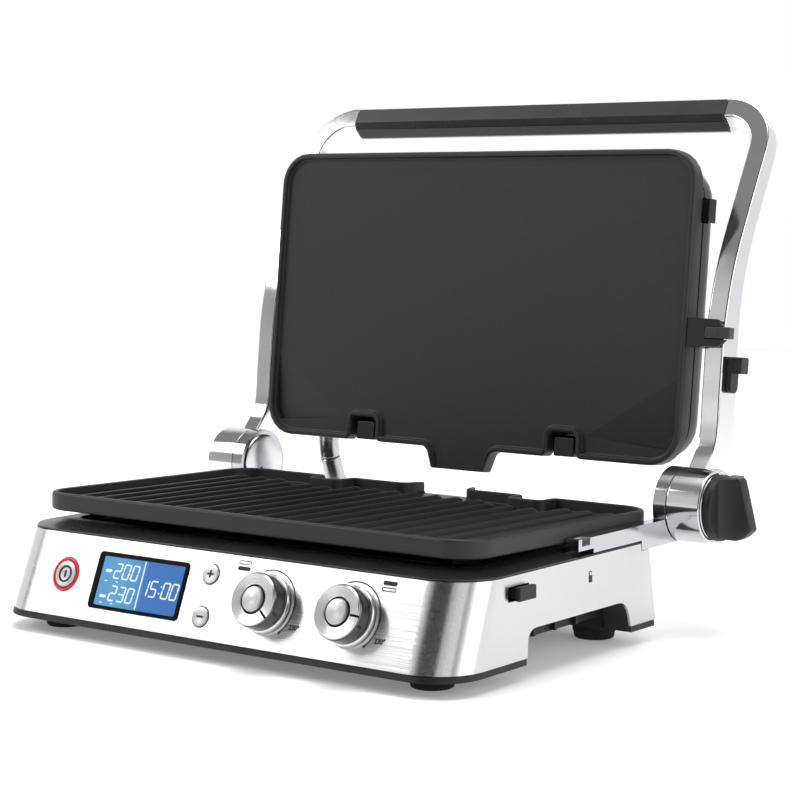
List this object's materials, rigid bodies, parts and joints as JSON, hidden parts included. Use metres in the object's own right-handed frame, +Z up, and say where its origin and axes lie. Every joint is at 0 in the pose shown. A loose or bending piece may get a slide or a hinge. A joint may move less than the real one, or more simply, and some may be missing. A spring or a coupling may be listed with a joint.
{
  "type": "panini press",
  "caption": "Contact grill with a sloping steel front panel, ribbed lower plate and a flat upper plate in a lid that stands open on a polished hoop handle.",
  "frame": {"origin": "bottom centre of the whole object, on the surface it stands on, with the lid open as it rests", "axes": "+X to the right seen from the front, +Y to the rear, +Z up; the front panel faces -Y"},
  "size_m": [0.4115, 0.357, 0.3235],
  "materials": {
    "brushed_steel": "fine straight brushing",
    "chrome": "polished",
    "polished_aluminium": "die-cast and polished to a mirror",
    "bare_metal": "plain",
    "nonstick_coating": "cast aluminium with a satin dark grey non-stick coating",
    "gloss_black": "glossy moulded black",
    "matte_black": "finely textured moulded black",
    "rubber": "matt",
    "display_glass": "clear window over a blue lit display",
    "red_ring": "translucent red",
    "circuit_board": "green board",
    "element_sheath": "heat-darkened tube"
  },
  "bodies": {
    "root": {"base_tray": "matte_black", "steel_wrap": "brushed_steel", "deck_cover": "gloss_black", "foot_front_left": "rubber", "foot_front_right": "rubber", "foot_rear_left": "rubber", "foot_rear_right": "rubber", "cord_gland": "rubber", "hinge_bracket_left": "chrome", "hinge_bracket_right": "chrome", "hinge_pin_left": "bare_metal", "hinge_pin_right": "bare_metal", "hinge_cap_left": "chrome", "hinge_cap_right": "chrome", "lower_reflector": "bare_metal", "lower_element": "element_sheath", "lower_sensor": "bare_metal", "lcd_bezel": "gloss_black", "lcd_lens": "display_glass", "lcd_module": "circuit_board", "control_board": "circuit_board", "encoder_left": "matte_black", "encoder_right": "matte_black", "power_ring": "red_ring", "power_board": "circuit_board", "conduit_lower": "bare_metal"},
    "arms": {"left_arm": "polished_aluminium", "right_arm": "polished_aluminium", "handle_core": "bare_metal", "handle_grip": "gloss_black", "conduit_upper": "bare_metal"},
    "head": {"head_housing": "gloss_black", "head_cover": "brushed_steel", "pivot_block_left": "matte_black", "pivot_block_right": "matte_black", "pivot_pin_left": "bare_metal", "pivot_pin_right": "bare_metal", "upper_reflector": "bare_metal", "upper_element": "element_sheath", "upper_sensor": "bare_metal"},
    "lower_plate": {"lower_plate": "nonstick_coating"},
    "upper_plate": {"upper_plate": "nonstick_coating"},
    "drip_tray": {"drip_tray": "matte_black"},
    "knob_left": {"knob_left": "brushed_steel"},
    "knob_right": {"knob_right": "brushed_steel"},
    "knob_button_left": {"knob_button_left": "brushed_steel"},
    "knob_button_right": {"knob_button_right": "brushed_steel"},
    "power_button": {"power_button": "brushed_steel"},
    "plus_button": {"plus_button": "brushed_steel"},
    "minus_button": {"minus_button": "brushed_steel"},
    "lower_release_button": {"lower_release_button": "matte_black"},
    "upper_release_button": {"upper_release_button": "matte_black"},
    "height_lock": {"height_lock": "matte_black"},
    "lid_lever": {"lid_lever": "matte_black"},
    "hinge_lock_knob": {"hinge_lock_knob": "matte_black"}
  },
  "joints": [
    {"name": "lid_hinge", "type": "hinge", "parent": "root", "child": "arms", "pos_m": [0, 0.0727, 0.0769], "axis": [-1, 0, 0], "range_deg": [-94.5, 83], "deforming": ["conduit_lower"]},
    {"name": "head_tilt", "type": "hinge", "parent": "arms", "child": "head", "pos_m": [0, 0.10543, 0.17858], "axis": [1, 0, 0], "range_deg": [0, 8], "deforming": ["conduit_upper"]},
    {"name": "lower_plate_lift", "type": "slide", "parent": "root", "child": "lower_plate", "axis": [0, 0.0236, 0.9997], "range_m": [0, 0.04]},
    {"name": "upper_plate_lift", "type": "slide", "parent": "head", "child": "upper_plate", "axis": [0, -0.994, 0.1094], "range_m": [0, 0.03]},
    {"name": "drip_tray_slide", "type": "slide", "parent": "root", "child": "drip_tray", "axis": [0, -1, 0], "range_m": [-0.14, 0]},
    {"name": "knob_left_turn", "type": "hinge", "parent": "root", "child": "knob_left", "pos_m": [0.0275, -0.15977, 0.03605], "axis": [0, 0.9275, -0.3738], "range_deg": [0, 270]},
    {"name": "knob_right_turn", "type": "hinge", "parent": "root", "child": "knob_right", "pos_m": [0.087, -0.15977, 0.03605], "axis": [0, 0.9275, -0.3738], "range_deg": [0, 270]},
    {"name": "knob_button_left_press", "type": "slide", "parent": "knob_left", "child": "knob_button_left", "axis": [0, 0.9275, -0.3738], "range_m": [0, 0.0015], "stiffness_N_per_m": 300, "springref_m": -0.001},
    {"name": "knob_button_right_press", "type": "slide", "parent": "knob_right", "child": "knob_button_right", "axis": [0, 0.9275, -0.3738], "range_m": [0, 0.0015], "stiffness_N_per_m": 300, "springref_m": -0.001},
    {"name": "power_button_press", "type": "slide", "parent": "root", "child": "power_button", "axis": [0, 0.9275, -0.3738], "range_m": [0, 0.0012], "stiffness_N_per_m": 300, "springref_m": -0.001},
    {"name": "plus_button_press", "type": "slide", "parent": "root", "child": "plus_button", "axis": [0, 0.9275, -0.3738], "range_m": [0, 0.001], "stiffness_N_per_m": 300, "springref_m": -0.001},
    {"name": "minus_button_press", "type": "slide", "parent": "root", "child": "minus_button", "axis": [0, 0.9275, -0.3738], "range_m": [0, 0.001], "stiffness_N_per_m": 300, "springref_m": -0.001},
    {"name": "lower_release_press", "type": "slide", "parent": "root", "child": "lower_release_button", "axis": [-1, 0, 0], "range_m": [0, 0.003], "stiffness_N_per_m": 600, "springref_m": -0.001},
    {"name": "upper_release_press", "type": "slide", "parent": "head", "child": "upper_release_button", "axis": [-1, 0, 0], "range_m": [0, 0.003], "stiffness_N_per_m": 600, "springref_m": -0.001},
    {"name": "height_lock_slide", "type": "slide", "parent": "arms", "child": "height_lock", "axis": [0, 0.1201, 0.9928], "range_m": [0, 0.006]},
    {"name": "lid_lever_turn", "type": "hinge", "parent": "head", "child": "lid_lever", "pos_m": [0.165, 0.0909, 0.17998], "axis": [0, -0.1094, -0.994], "range_deg": [0, 20]},
    {"name": "hinge_lock_turn", "type": "hinge", "parent": "arms", "child": "hinge_lock_knob", "pos_m": [0.188, 0.0727, 0.0769], "axis": [1, 0, 0], "range_deg": [0, 45]}
  ]
}
